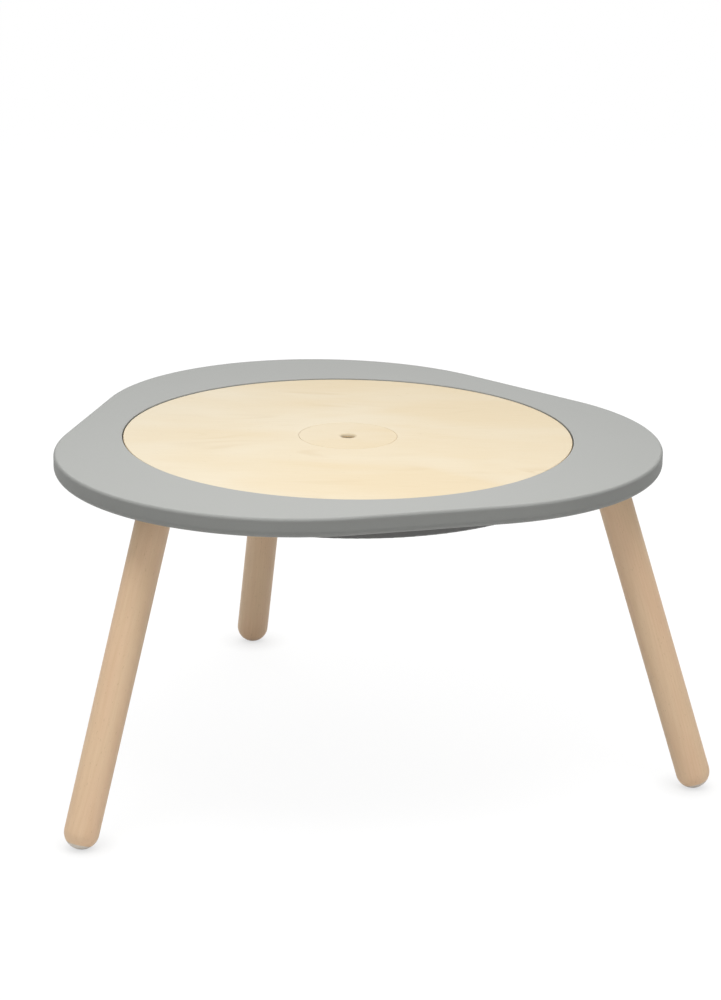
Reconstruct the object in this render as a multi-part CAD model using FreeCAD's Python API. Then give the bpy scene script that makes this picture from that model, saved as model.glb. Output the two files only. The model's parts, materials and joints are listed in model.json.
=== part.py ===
import FreeCAD
import Part
import math
import os

# A children's table on three splayed legs, in millimetres and degrees. The origin is on the
# floor under the middle of the play board. Z points up, and the back leg points along Y.

# Table top: a three-sided board with wide round corners and a stepped round opening
table_height = 400.0
side_rim_width = 55.3
corner_margin = 25.8
rim_round = 3.5
rim_under_round = 8.5
opening_round = 1.0
ledge_overlap = 9.0
ledge_thickness = 10.0

# Play board: a plywood disc that drops into the opening and rests on its ledge
board_radius = 265.0
board_thickness = 12.0
board_gap = 1.2
board_drop = 1.0
board_round = 1.0

# Centre lid: a thinner disc with a finger hole, in a rebate of the play board
lid_radius = 58.0
lid_thickness = 6.0
lid_gap = 0.25
lid_ledge_overlap = 8.0
lid_round = 0.2
finger_hole_radius = 7.5
finger_hole_round = 4.0

# Storage tray: a shallow moulded pan under the opening, with screw ears on its flange
tray_depth = 24.5
tray_wall = 3.0
tray_mouth_margin = 4.5
tray_draft = 1.5
tray_round = 2.5
tray_inner_round = 6.0
tray_flange_width = 8.5
tray_flange_thickness = 3.0
tray_flange_round = 1.0
tray_ear_radius = 8.0
tray_ear_offset = 4.0
tray_ear_fillet = 5.0
tray_ear_count = 6

# Legs: turned beech with a ball end, which is cut off square for the pad
leg_sides = ("right", "back", "left")
first_leg_angle = -30.0
leg_radius = 20.0
leg_splay_angle = 18.0
leg_top_round = 1.0

# Foot pads: felt buttons that carry the ball's curve on, set back by a step from the wood's edge
# and pressed flat where they stand
pad_radius = 15.0
pad_step = 0.6
pad_press = 0.4

# Leg brackets: a moulded plate with a slanted boss that the leg is screwed up against
bracket_gap = 2.2
bracket_thickness = 5.0
bracket_round = 1.5
bracket_flange_width = 14.0
boss_margin = 2.0
boss_round = 0.8
seat_lip = 0.4
rib_thickness = 3.0
rib_height = 6.0
rib_setback = 3.0
rib_angles = (-90.0, 90.0, 180.0)
bracket_screw_count = 4
bracket_screw_inset = 6.5

# Threaded inserts: brass sleeves pressed into the bosses
insert_wall = 1.4
insert_cover = 0.5
insert_round = 0.4
press_gap = 0.05

# Hanger bolts: a machine thread for the insert and a wood thread for the leg
bolt_radius = 5.0
bolt_round = 0.8
bolt_wood_step = 0.3
bolt_wood_length = 40.0
bolt_tip = 7.0
bolt_gap = 0.05
bolt_hole_spare = 2.0

# Wood screws: countersunk, with a six-sided socket, the same for the brackets and the tray
screw_length = 16.0
screw_radius = 2.0
screw_head_overhang = 2.0
screw_head_rim = 0.5
screw_tip = 3.0
screw_socket_radius = 1.7
screw_socket_depth = 1.6
screw_socket_sides = 6
screw_gap = 0.05

# How far a cut runs past the faces that it opens, and how closely two equal sizes match
overrun = 5.0
match = 1e-6

# Heights of the main faces
board_top = table_height - board_drop
board_bottom = board_top - board_thickness
underside = board_bottom - ledge_thickness
lid_bottom = board_top - lid_thickness
tray_bottom = underside - tray_depth
tray_floor = tray_bottom + tray_wall

# Radii about the table's axis
opening_radius = board_radius + board_gap
ledge_radius = board_radius - ledge_overlap
lid_opening_radius = lid_radius + lid_gap
lid_ledge_radius = lid_radius - lid_ledge_overlap
tray_outer_radius = ledge_radius + tray_mouth_margin + tray_wall
tray_flange_radius = tray_outer_radius + tray_flange_width
tray_screw_circle = tray_flange_radius + tray_ear_offset

# Sizes and places about a leg. Its axis meets the underside at leg_top_radius, and distances
# along the leg are taken from there, downwards.
boss_radius = leg_radius + boss_margin
bracket_radius = boss_radius + bracket_flange_width
bracket_screw_circle = bracket_radius - bracket_screw_inset
leg_top_radius = tray_flange_radius + bracket_gap + bracket_radius
leg_step_angle = math.degrees(math.tau / len(leg_sides))
leg_angles = {side: first_leg_angle + leg_step_angle * step for step, side in enumerate(leg_sides)}
splay_sine = math.sin(math.radians(leg_splay_angle))
splay_cosine = math.cos(math.radians(leg_splay_angle))
splay_tangent = math.tan(math.radians(leg_splay_angle))
seat_distance = (bracket_thickness + seat_lip + boss_radius * splay_sine) / splay_cosine
insert_radius = bolt_radius + bolt_gap + insert_wall
insert_start = insert_radius * splay_tangent + insert_cover
bolt_wood_radius = bolt_radius - bolt_wood_step
bolt_end = seat_distance + bolt_wood_length
ball_height = leg_radius - pad_press
ball_distance = (underside - ball_height) / splay_cosine
pad_distance = ball_distance + math.sqrt(leg_radius ** 2 - pad_radius ** 2)
foot_radius = leg_top_radius + (underside - ball_height) * splay_tangent

# The top's plan is a triangle with three wide arcs. Its sides lie at side_distance from the
# axis, and each corner reaches corner_margin past the bracket under it.
side_distance = opening_radius + side_rim_width
corner_reach = leg_top_radius + bracket_radius + corner_margin
corner_radius = 2 * side_distance - corner_reach

origin = FreeCAD.Vector(0, 0, 0)
across = FreeCAD.Vector(0, 1, 0)
upright = FreeCAD.Vector(0, 0, 1)


def outline(corners):
    """Closed wire through (point, rounding) corners, with a tangent arc at each rounded one."""
    edges = []
    ends = []
    for index, (here, rounding) in enumerate(corners):
        back = (corners[index - 1][0] - here).normalize()
        ahead = (corners[(index + 1) % len(corners)][0] - here).normalize()
        half_angle = back.getAngle(ahead) / 2
        trim = rounding / math.tan(half_angle)
        arc_start = here + back * trim
        arc_end = here + ahead * trim
        if rounding > 0:
            bisector = (back + ahead).normalize()
            middle = here + bisector * (rounding / math.sin(half_angle) - rounding)
            edges.append(Part.Arc(arc_start, middle, arc_end).toShape())
        ends.append((arc_start, arc_end))
    for index, (arc_start, arc_end) in enumerate(ends):
        before = ends[index - 1][1]
        if before.distanceToPoint(arc_start) > match:
            edges.append(Part.LineSegment(before, arc_start).toShape())
    return Part.Wire(Part.__sortEdges__(edges))


def lathe(corners):
    """Solid turned about Z from (radius, height, rounding) corners of its half section."""
    points = [(FreeCAD.Vector(radius, 0, height), rounding) for radius, height, rounding in corners]
    return Part.Face(outline(points)).revolve(origin, upright)


def moved(shape, offset):
    """Copy of a shape, shifted."""
    copy = shape.copy()
    copy.translate(offset)
    return copy


def turned(shape, angle):
    """Copy of a shape, turned about the table's axis."""
    copy = shape.copy()
    copy.rotate(origin, upright, angle)
    return copy


def along_leg(shape):
    """Copy of a shape made along Z, laid down the axis of a leg that points along X."""
    copy = shape.copy()
    copy.rotate(origin, across, math.degrees(math.pi) - leg_splay_angle)
    copy.translate(FreeCAD.Vector(leg_top_radius, 0, underside))
    return copy


def ring_of(centre, radius, height, count, first_angle):
    """Points evenly spaced on a level circle."""
    angles = [math.radians(first_angle) + math.tau * step / count for step in range(count)]
    return [centre + FreeCAD.Vector(radius * math.cos(angle), radius * math.sin(angle), height)
            for angle in angles]


def bracket_screw_spots():
    """Centres of one bracket's screw heads, for a leg along X."""
    centre = FreeCAD.Vector(leg_top_radius, 0, 0)
    half_step = math.degrees(math.pi / bracket_screw_count)
    height = underside - bracket_thickness
    return ring_of(centre, bracket_screw_circle, height, bracket_screw_count, half_step)


def tray_screw_spots():
    """Centres of the tray's screw heads, evenly spaced and clear of the legs."""
    first_angle = first_leg_angle + math.degrees(math.pi / tray_ear_count)
    height = underside - tray_flange_thickness
    return ring_of(origin, tray_screw_circle, height, tray_ear_count, first_angle)


def screw_body(gap, start):
    """A countersunk screw that points up from its head's face at zero, grown by a gap."""
    shank = screw_radius + gap
    head = shank + screw_head_overhang
    neck = screw_head_rim + screw_head_overhang
    return lathe([
        (0, start, 0),
        (head, start, 0),
        (head, screw_head_rim, 0),
        (shank, neck, 0),
        (shank, screw_length - screw_tip + gap, 0),
        (0, screw_length + gap, 0),
    ])


def wood_screw():
    """The screw with the socket in its head."""
    corners = ring_of(origin, screw_socket_radius, 0, screw_socket_sides, 0)
    socket = Part.Face(outline([(corner, 0) for corner in corners]))
    return screw_body(0, 0).cut(socket.extrude(upright * screw_socket_depth))


def screw_room():
    """The hole that one screw takes through its plate and up into the top."""
    return screw_body(screw_gap, -overrun)


def table_top():
    """The rounded three-sided board with its stepped opening and the screws' pilot holes."""
    tips = ring_of(origin, 2 * side_distance, underside, len(leg_sides), first_leg_angle)
    plan = Part.Face(outline([(tip, corner_radius) for tip in tips]))
    board = plan.extrude(upright * (table_height - underside))
    for height, rounding in ((table_height, rim_round), (underside, rim_under_round)):
        rim = [edge for edge in board.Edges
               if edge.BoundBox.ZLength < match and abs(edge.BoundBox.ZMin - height) < match]
        board = board.makeFillet(rounding, rim)
    board = board.cut(lathe([
        (0, underside - overrun, 0),
        (ledge_radius, underside - overrun, 0),
        (ledge_radius, board_bottom, 0),
        (opening_radius, board_bottom, 0),
        (opening_radius, table_height + overrun, 0),
        (0, table_height + overrun, 0),
    ]))
    mouth = [edge for edge in board.Edges
             if isinstance(edge.Curve, Part.Circle)
             and abs(edge.Curve.Radius - opening_radius) < match
             and abs(edge.Curve.Center.z - table_height) < match]
    board = board.makeFillet(opening_round, mouth)
    holes = [moved(screw_room(), spot) for spot in tray_screw_spots()]
    for angle in leg_angles.values():
        holes += [turned(moved(screw_room(), spot), angle) for spot in bracket_screw_spots()]
    return board.cut(holes)


def play_board():
    """The plywood disc, with a stepped opening in the middle for the lid."""
    return lathe([
        (lid_ledge_radius, board_bottom, board_round),
        (board_radius, board_bottom, board_round),
        (board_radius, board_top, board_round),
        (lid_opening_radius, board_top, lid_round),
        (lid_opening_radius, lid_bottom, 0),
        (lid_ledge_radius, lid_bottom, 0),
    ])


def center_lid():
    """The small disc with its finger hole."""
    return lathe([
        (finger_hole_radius, lid_bottom, lid_round),
        (lid_radius, lid_bottom, lid_round),
        (lid_radius, board_top, lid_round),
        (finger_hole_radius, board_top, finger_hole_round),
    ])


def storage_tray():
    """The pan with drafted walls, its flange and the screw ears."""
    flange_bottom = underside - tray_flange_thickness
    pan = lathe([
        (0, tray_bottom, 0),
        (tray_outer_radius - tray_draft, tray_bottom, tray_round),
        (tray_outer_radius, flange_bottom, tray_flange_round),
        (tray_flange_radius, flange_bottom, 0),
        (tray_flange_radius, underside, 0),
        (tray_outer_radius - tray_wall, underside, tray_flange_round),
        (tray_outer_radius - tray_draft - tray_wall, tray_floor, tray_inner_round),
        (0, tray_floor, 0),
    ])
    spots = tray_screw_spots()
    pan = pan.fuse([Part.makeCylinder(tray_ear_radius, tray_flange_thickness, spot) for spot in spots])
    pan = pan.removeSplitter()
    ear_corners = [edge for edge in pan.Edges
                   if abs(edge.Length - tray_flange_thickness) < match
                   and abs(edge.BoundBox.ZLength - tray_flange_thickness) < match
                   and len(pan.ancestorsOfType(edge, Part.Face)) == 2]
    pan = pan.makeFillet(tray_ear_fillet, ear_corners)
    return pan.cut([moved(screw_room(), spot) for spot in spots])


def leg():
    """A leg along X: a round bar with a ball end, cut off at the pad and bored for its bolt."""
    bar = lathe([
        (0, seat_distance, 0),
        (leg_radius, seat_distance, leg_top_round),
        (leg_radius, ball_distance + leg_radius, leg_radius),
        (0, ball_distance + leg_radius, 0),
    ])
    bore_length = bolt_wood_length + bolt_hole_spare
    bore = Part.makeCylinder(bolt_radius + bolt_gap, bore_length, upright * seat_distance)
    end = Part.makeCylinder(leg_radius, leg_radius, upright * pad_distance)
    return along_leg(bar.cut([bore, end]))


def foot_pad():
    """The felt button on the end of a leg along X: a slice of the ball, flat on the floor."""
    ball = Part.makeSphere(leg_radius, upright * ball_distance)
    button = Part.makeCylinder(pad_radius - pad_step, leg_radius, upright * pad_distance)
    under_floor = FreeCAD.Vector(foot_radius, 0, -leg_radius)
    return along_leg(ball.common(button)).cut(Part.makeCylinder(leg_radius, leg_radius, under_floor))


def bracket_rib(angle):
    """One of the ribs that brace the boss on the plate."""
    plate_bottom = underside - bracket_thickness
    side = FreeCAD.Vector(0, -rib_thickness / 2, 0)
    web = Part.Face(outline([
        (FreeCAD.Vector(0, 0, plate_bottom) + side, 0),
        (FreeCAD.Vector(bracket_radius - rib_setback, 0, plate_bottom) + side, 0),
        (FreeCAD.Vector(boss_radius, 0, plate_bottom - rib_height) + side, 0),
        (FreeCAD.Vector(0, 0, plate_bottom - rib_height) + side, 0),
    ]))
    rib = turned(web.extrude(across * rib_thickness), angle)
    return moved(rib, FreeCAD.Vector(leg_top_radius, 0, 0))


def leg_bracket():
    """A bracket for a leg along X: round plate, slanted boss, three ribs and the holes."""
    plate = moved(lathe([
        (0, underside, 0),
        (bracket_radius, underside, 0),
        (bracket_radius, underside - bracket_thickness, bracket_round),
        (0, underside - bracket_thickness, 0),
    ]), FreeCAD.Vector(leg_top_radius, 0, 0))
    boss = along_leg(lathe([
        (0, -boss_radius, 0),
        (boss_radius, -boss_radius, 0),
        (boss_radius, seat_distance, boss_round),
        (0, seat_distance, 0),
    ]))
    above = FreeCAD.Vector(leg_top_radius, 0, underside)
    boss = boss.cut(Part.makeCylinder(bracket_radius, 2 * bracket_radius, above))
    beyond_seat = along_leg(Part.makeCylinder(boss_radius, leg_radius, upright * seat_distance))
    ribs = [bracket_rib(angle).cut(beyond_seat) for angle in rib_angles]
    body = plate.fuse([boss] + ribs)
    bore_start = FreeCAD.Vector(0, 0, -overrun)
    bore_radius = insert_radius + press_gap
    bore = along_leg(Part.makeCylinder(bore_radius, seat_distance + 2 * overrun, bore_start))
    holes = [moved(screw_room(), spot) for spot in bracket_screw_spots()]
    return body.cut([bore] + holes).removeSplitter()


def threaded_insert():
    """The brass sleeve in a bracket's boss."""
    inner = bolt_radius + bolt_gap
    outer = insert_radius
    return along_leg(lathe([
        (inner, insert_start, 0),
        (outer, insert_start, insert_round),
        (outer, seat_distance, insert_round),
        (inner, seat_distance, 0),
    ]))


def hanger_bolt():
    """The double-ended bolt that holds a leg to its bracket."""
    return along_leg(lathe([
        (0, insert_start, 0),
        (bolt_radius, insert_start, bolt_round),
        (bolt_radius, seat_distance, 0),
        (bolt_wood_radius, seat_distance, 0),
        (bolt_wood_radius, bolt_end - bolt_tip, 0),
        (0, bolt_end, 0),
    ]))


def all_pieces():
    """Every piece of the table by name, in its place."""
    pieces = {
        "table_top": table_top(),
        "play_board": play_board(),
        "center_lid": center_lid(),
        "storage_tray": storage_tray(),
        "tray_screws": Part.makeCompound([moved(wood_screw(), spot) for spot in tray_screw_spots()]),
    }
    leg_set = {
        "leg": leg(),
        "foot_pad": foot_pad(),
        "leg_bracket": leg_bracket(),
        "threaded_insert": threaded_insert(),
        "hanger_bolt": hanger_bolt(),
    }
    bracket_screws = []
    for side, angle in leg_angles.items():
        for name, shape in leg_set.items():
            pieces[name + "_" + side] = turned(shape, angle)
        bracket_screws += [turned(moved(wood_screw(), spot), angle) for spot in bracket_screw_spots()]
    pieces["bracket_screws"] = Part.makeCompound(bracket_screws)
    return pieces


os.makedirs("parts", exist_ok=True)
for name, shape in all_pieces().items():
    shape.exportStep("parts/" + name + ".step")
    print(name, len(shape.Solids), "solids", round(shape.Volume), "mm3", shape.isValid())
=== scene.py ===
"""A children's table on three splayed beech legs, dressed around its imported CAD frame.

The top is a rounded three-sided board in satin grey lacquer. A round birch plywood board with a
small lid lies in its opening, over a moulded storage tray. Sizes are in metres, and Z points up.
"""

import json
import math
import bmesh
import bpy
import numpy as np
from bpy.props import FloatProperty, FloatVectorProperty, PointerProperty
from mathutils import Matrix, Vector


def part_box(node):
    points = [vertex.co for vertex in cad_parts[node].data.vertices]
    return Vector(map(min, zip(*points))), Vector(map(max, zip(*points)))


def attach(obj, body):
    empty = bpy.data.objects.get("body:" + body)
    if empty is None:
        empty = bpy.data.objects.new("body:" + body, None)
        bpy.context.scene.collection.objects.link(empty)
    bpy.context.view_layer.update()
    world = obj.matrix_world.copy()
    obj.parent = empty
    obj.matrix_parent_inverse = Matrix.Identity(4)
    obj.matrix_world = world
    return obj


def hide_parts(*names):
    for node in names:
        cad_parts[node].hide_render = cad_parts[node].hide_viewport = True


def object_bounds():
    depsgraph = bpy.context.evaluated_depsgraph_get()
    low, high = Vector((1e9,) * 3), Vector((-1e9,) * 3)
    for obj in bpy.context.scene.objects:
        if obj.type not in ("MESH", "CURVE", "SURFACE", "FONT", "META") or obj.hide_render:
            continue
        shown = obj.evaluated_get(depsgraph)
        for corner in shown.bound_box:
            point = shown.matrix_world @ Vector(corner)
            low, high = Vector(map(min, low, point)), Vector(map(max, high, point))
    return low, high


bl_info = {
    "name": "Children's play table",
    "version": (1, 0, 0),
    "blender": (4, 5, 0),
    "location": "View3D > Sidebar > Play table",
    "description": "Builds the surfaces and finishes of a children's table around its frame",
    "category": "Object",
}

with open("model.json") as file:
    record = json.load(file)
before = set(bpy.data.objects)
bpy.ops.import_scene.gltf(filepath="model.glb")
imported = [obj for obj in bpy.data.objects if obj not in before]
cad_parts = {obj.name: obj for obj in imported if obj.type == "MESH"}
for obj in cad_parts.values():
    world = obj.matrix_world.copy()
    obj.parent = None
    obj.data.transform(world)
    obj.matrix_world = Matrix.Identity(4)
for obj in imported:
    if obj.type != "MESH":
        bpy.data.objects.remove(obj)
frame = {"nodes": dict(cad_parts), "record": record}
cad_low, cad_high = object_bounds()

MILLIMETRE = 0.001
WHITE = (1, 1, 1, 1)
MOUNTS = {mount["name"]: np.array(mount["pos_m"]) for mount in frame["record"]["mounts"]}
FEET = {side: MOUNTS["foot_" + side] for side in ("right", "back", "left")}

# Counts that belong to the object
TRAY_SCREWS = 6
BRACKET_SCREWS = 4
SOCKET_SIDES = 6
INSERT_GROOVES = 24

# Waves round a felt pad's edge: the number of each, its strength and where it starts in radians
PAD_WAVES = ((7, 1, 0), (19, 0.6, 1), (37, 0.4, 2))
PAD_WAVER_SHARE = 0.004

# Points and steps of the surfaces, enough to look smooth from near
TOP_ARC_POINTS = 181
TOP_SIDE_STEPS = 40
TOP_ROUNDING_POINTS = 13
TOP_FLAT_POINTS = 7
ROUNDING_STEPS = 6
BOARD_TURNS = 512
LID_TURNS = 256
LEG_TURNS = 128
LEG_BAR_POINTS = 60
LEG_BALL_POINTS = 33
LEG_END_POINTS = 7
PAD_TURNS = 192
PAD_DOME_POINTS = 49
SCREW_TURNS = 48
SCREW_SHANK_POINTS = 64
BOLT_TURNS = 64
BOLT_MACHINE_POINTS = 72
BOLT_WOOD_POINTS = 120
INSERT_TURNS = 192
INSERT_WALL_POINTS = 26
INSERT_BORE_POINTS = 74
FLOOR_TURNS = 64
FLOOR_RINGS = 5

# Points beyond a rounding that keep the flats flat, and limits for sharp edges and merged points
ROUNDING_GUARD = 0.1 * MILLIMETRE
TOP_GUARD = 0.4 * MILLIMETRE
SHARP_ANGLE = math.radians(35)
MERGE_DISTANCE = 1e-7

# How many times sooner a wood thread falls from its crest to its root, which makes the root broad
WOOD_ROOT_WIDTH = 2

# How far apart the legs lie in the wood's pattern, and how closely the veneer's flames are lined
LEG_SHIFT = 3.7
FLAME_LINES = 62

# Reach of the floor and of the camera, and how finely the floor looks for what is close to it
FLOOR_REACH = 40
VIEW_REACH = 200
CONTACT_SAMPLES = 8


def linear(code):
    """Linear colour of an sRGB hex code of six digits."""
    levels = np.array([int(code[i:i + 2], 16) for i in (0, 2, 4)]) / 255
    return tuple(np.where(levels <= 0.04045, levels / 12.92, ((levels + 0.055) / 1.055) ** 2.4))


def reach_of(name):
    """Largest distance of a CAD node from the table's axis along X or Y."""
    low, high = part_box(name)
    return max(high.x, high.y, -low.x, -low.y)


def size(name, description, default):
    """A length that a user can change."""
    return FloatProperty(name=name, description=description, default=default, unit="LENGTH", precision=5)


def angle(name, description, degrees):
    """An angle that a user can change."""
    return FloatProperty(name=name, description=description, default=math.radians(degrees), subtype="ANGLE")


def amount(name, description, default):
    """A plain number that a user can change."""
    return FloatProperty(name=name, description=description, default=default)


def colour(name, description, code):
    """A colour that a user can change, given as an sRGB hex code."""
    return FloatVectorProperty(name=name, description=description, default=linear(code),
                               subtype="COLOR", size=3, min=0, max=1)


class TableSizes(bpy.types.PropertyGroup):
    """Sizes that the frame's boxes don't give."""
    rim_round: size("Rim rounding", "Radius on the upper outer edge of the top", 0.0035)
    rim_under_round: size("Lower rim rounding", "Radius on the lower outer edge of the top", 0.0085)
    opening_round: size("Opening rounding", "Radius on the upper edge of the opening", 0.001)
    board_gap: size("Board gap", "Gap round the play board", 0.0012)
    board_round: size("Board rounding", "Radius on the edges of the play board", 0.001)
    ledge_overlap: size("Ledge overlap", "Width of the ledge under the play board", 0.009)
    lid_gap: size("Lid gap", "Gap round the centre lid", 0.00025)
    lid_ledge_overlap: size("Lid ledge", "Width of the ledge under the lid", 0.008)
    lid_round: size("Lid rounding", "Radius on the edges of the lid", 0.0002)
    finger_hole_radius: size("Finger hole", "Radius of the hole in the lid", 0.0075)
    finger_hole_round: size("Finger hole rounding", "Radius on the upper edge of the hole", 0.004)
    leg_radius: size("Leg radius", "Radius of the round legs", 0.020)
    leg_top_round: size("Leg top rounding", "Radius on the upper end of a leg", 0.001)
    leg_top_radius: size("Leg top place", "From the table's axis to a leg's axis at the underside", 0.3102)
    leg_seat: size("Leg seat", "Distance down the leg from the underside to the leg's upper end", 0.012826)
    pad_radius: size("Pad radius", "Radius of a leg's end where the felt pad is set on it", 0.015)
    pad_step: size("Pad step", "How far a pad's edge is set back from the wood's edge", 0.0006)
    pad_press: size("Pad press", "How far a pad is pressed flat by the floor", 0.0004)
    pad_edge_round: size("Pad edge", "Radius on the upper edge of a felt pad", 0.0002)
    ply: size("Ply", "Thickness of one ply of the plywood", 0.00133)
    screw_length: size("Screw length", "Length of a wood screw", 0.016)
    screw_radius: size("Screw radius", "Outer radius of a wood screw's thread", 0.002)
    screw_head_radius: size("Screw head", "Radius of a wood screw's head", 0.004)
    screw_head_rim: size("Screw head rim", "Height of the straight rim of a screw's head", 0.0005)
    screw_tip: size("Screw tip", "Length of a wood screw's point", 0.003)
    screw_pitch: size("Screw pitch", "Pitch of a wood screw's thread", 0.0018)
    screw_thread: size("Screw thread", "Depth of a wood screw's thread", 0.0005)
    socket_radius: size("Socket radius", "Radius of a screw's six-sided socket, to its corners", 0.0017)
    socket_depth: size("Socket depth", "Depth of a screw's six-sided socket", 0.0016)
    bracket_screw_inset: size("Screw inset", "From a bracket's edge to its screws", 0.0065)
    bolt_radius: size("Bolt radius", "Outer radius of a hanger bolt's machine thread", 0.005)
    bolt_wood_radius: size("Bolt wood radius", "Outer radius of a hanger bolt's wood thread", 0.0047)
    bolt_start: size("Bolt start", "Distance down the leg from the underside to the bolt", 0.002596)
    bolt_round: size("Bolt rounding", "Radius on the upper end of a bolt", 0.0008)
    bolt_wood_length: size("Bolt wood length", "How deep a bolt sits in its leg", 0.040)
    bolt_tip: size("Bolt tip", "Length of a bolt's point", 0.007)
    bolt_pitch: size("Bolt pitch", "Pitch of a bolt's machine thread", 0.0015)
    bolt_thread: size("Bolt thread", "Depth of a bolt's machine thread", 0.0009)
    bolt_wood_pitch: size("Bolt wood pitch", "Pitch of a bolt's wood thread", 0.004)
    bolt_wood_thread: size("Bolt wood thread", "Depth of a bolt's wood thread", 0.0011)
    insert_bore: size("Insert bore", "Inner radius of a threaded insert", 0.00505)
    insert_radius: size("Insert radius", "Outer radius of a threaded insert", 0.00645)
    insert_round: size("Insert rounding", "Radius on the outer edges of an insert", 0.0004)
    knurl_depth: size("Knurl depth", "Depth of the grooves round an insert", 0.0003)


class TableFinishes(bpy.types.PropertyGroup):
    """Colours of the materials."""
    lacquer: colour("Lacquer", "Satin grey lacquer of the top", "8A8B88")
    birch: colour("Birch", "Face veneer of the play board", "BCB097")
    birch_warm: colour("Warm birch", "Warmer stretches of the veneer", "B9A887")
    birch_figure: colour("Birch figure", "Darker flame figure in the veneer", "AA9572")
    ply_glue: colour("Glue line", "Dark plies on the plywood's edge", "C2A882")
    beech: colour("Beech", "Pale wood of the legs", "E5C7A4")
    beech_rose: colour("Rosy beech", "Rosier stretches of the legs", "E4C2A0")
    beech_ring: colour("Beech rings", "Darker growth rings of the legs", "D0AA7F")
    felt: colour("Felt", "Pressed felt of the pads", "DCD3C7")
    # Partly painted shade: the moulded tray's grey is set darker than the lacquer to stand in for the shade
    # under the top's overhang
    tray: colour("Tray", "Moulded storage tray", "676765")
    bracket: colour("Bracket", "Moulded leg brackets", "6B6B69")
    zinc: colour("Zinc", "Plating of screws and bolts", "C3C6CA")
    brass: colour("Brass", "Threaded inserts", "D2AE6A")
    floor: colour("Floor", "Pale studio floor", "E8E8E8")


class StudioSetup(bpy.types.PropertyGroup):
    """The camera at the photograph's viewing angle, and the light."""
    camera_distance: size("Distance", "Level distance from the camera to the table's axis", 3.611)
    camera_height: size("Height", "Height of the camera above the floor", 1.3985)
    camera_turn: angle("Turn", "Where the camera stands round the table, from the front", -16.85)
    camera_pan: angle("Pan", "How far the camera looks to the right of the axis", 0.255)
    camera_pitch: angle("Pitch", "How far the camera looks down", 16.632)
    camera_roll: angle("Roll", "How far the camera is tilted to its right", 0.965)
    camera_lens: amount("Lens", "Focal length in millimetres on a 36 mm sensor", 114.13)
    sky_low: amount("Low sky", "Light from the horizon", 0.50)
    sky_high: amount("High sky", "Light from straight above", 1.04)
    sky_sides: amount("Dark sides", "Share of the light that is missing straight to the left and right", 1.0)
    left_lamp: amount("Left lamp", "Light of the lamp in front at the left", 0.51)
    right_lamp: amount("Right lamp", "Light of the lamp in front at the right", 0.42)
    side_lamp_size: angle("Side lamp size", "Angle that a side lamp fills", 26)
    side_lamp_height: angle("Side lamp height", "How high the side lamps stand", 61)
    side_lamp_turn: angle("Side lamp turn", "How far the side lamps stand from the camera", 34)
    side_lamp_distance: size("Side lamp distance", "How far the side lamps stand from the table top", 1.2)
    back_lamp: amount("Back lamp", "Light of the broad lamp behind the table", 0.34)
    back_lamp_size: angle("Back lamp size", "Angle that the back lamp fills", 50)
    back_lamp_height: angle("Back lamp height", "How high the back lamp stands", 40)
    back_lamp_distance: size("Back lamp distance", "How far the back lamp stands from the table top", 3)
    floor_glow: amount("Floor glow", "Light that the floor shows to the camera by itself", 0.92)
    floor_shadow: amount("Floor shadow", "Grey of the paint that shows the shadow to the camera", 0.12)
    # The contact shadow is painted shade: ambient occlusion darkens the floor's glow near each foot
    contact: size("Contact shadow", "How far from a foot its close shadow reaches", 0.035)
    contact_share: amount("Contact share", "Share of the glow that is left close to a foot", 0.7)


def node(tree, kind, inputs=None, **settings):
    """Add a shader node. inputs maps sockets to plain values or to the sockets that feed them."""
    made = tree.nodes.new("ShaderNode" + kind)
    for name, value in settings.items():
        setattr(made, name, value)
    for socket, value in (inputs or {}).items():
        if isinstance(value, bpy.types.NodeSocket):
            tree.links.new(value, made.inputs[socket])
        else:
            made.inputs[socket].default_value = value
    return made


def maths(tree, operation, *values, clamp=False):
    """Result of one step of arithmetic."""
    return node(tree, "Math", dict(enumerate(values)), operation=operation, use_clamp=clamp).outputs[0]


def remap(tree, value, start=0, end=1, low=0, high=1):
    """Number that runs from low to high while value runs from start to end, and stops there."""
    ranges = {"From Min": start, "From Max": end, "To Min": low, "To Max": high}
    return node(tree, "MapRange", {"Value": value, **ranges}).outputs[0]


def shade(tint, factor=1):
    """A colour with its light multiplied by a factor, as four numbers."""
    return (*[min(1, level * factor) for level in tint[:3]], 1)


def blend(tree, share, first, second):
    """Colour between two colours or sockets, which are the mix node's sockets 6 and 7."""
    ends = [end if isinstance(end, bpy.types.NodeSocket) else shade(end) for end in (first, second)]
    return node(tree, "Mix", {0: share, 6: ends[0], 7: ends[1]}, data_type="RGBA").outputs[2]


def noise(tree, spot, lengths, detail, distortion=0, shift=0):
    """Cloudy noise whose patches have the given lengths in millimetres along X, Y and Z."""
    stretch = tuple(1 / (length * MILLIMETRE) for length in lengths)
    sheet = node(tree, "Mapping", {"Vector": spot, "Location": (shift,) * 3, "Scale": stretch}).outputs[0]
    inputs = {"Vector": sheet, "Scale": 1, "Detail": detail, "Distortion": distortion}
    return node(tree, "TexNoise", inputs).outputs["Fac"]


def bumps(tree, height, strength, depth):
    """Normal of a surface with bumps of a depth in millimetres."""
    inputs = {"Height": height, "Strength": strength, "Distance": depth * MILLIMETRE}
    return node(tree, "Bump", inputs).outputs[0]


def object_spot(tree):
    """Place on the object, in metres."""
    return node(tree, "TexCoord").outputs["Object"]


def start_material(name, even):
    """A material whose shader has the given even values on its sockets."""
    material = bpy.data.materials.new(name)
    material.use_nodes = True
    tree = material.node_tree
    shader = tree.nodes["Principled BSDF"]
    for socket, value in even.items():
        shader.inputs[socket].default_value = value
    return material, tree, shader


def feed(tree, shader, tint, roughness=None, bump=None):
    """Join the sockets that vary over the surface to the shader."""
    for socket, source in (("Base Color", tint), ("Roughness", roughness), ("Normal", bump)):
        if source is not None:
            tree.links.new(source, shader.inputs[socket])


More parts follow.
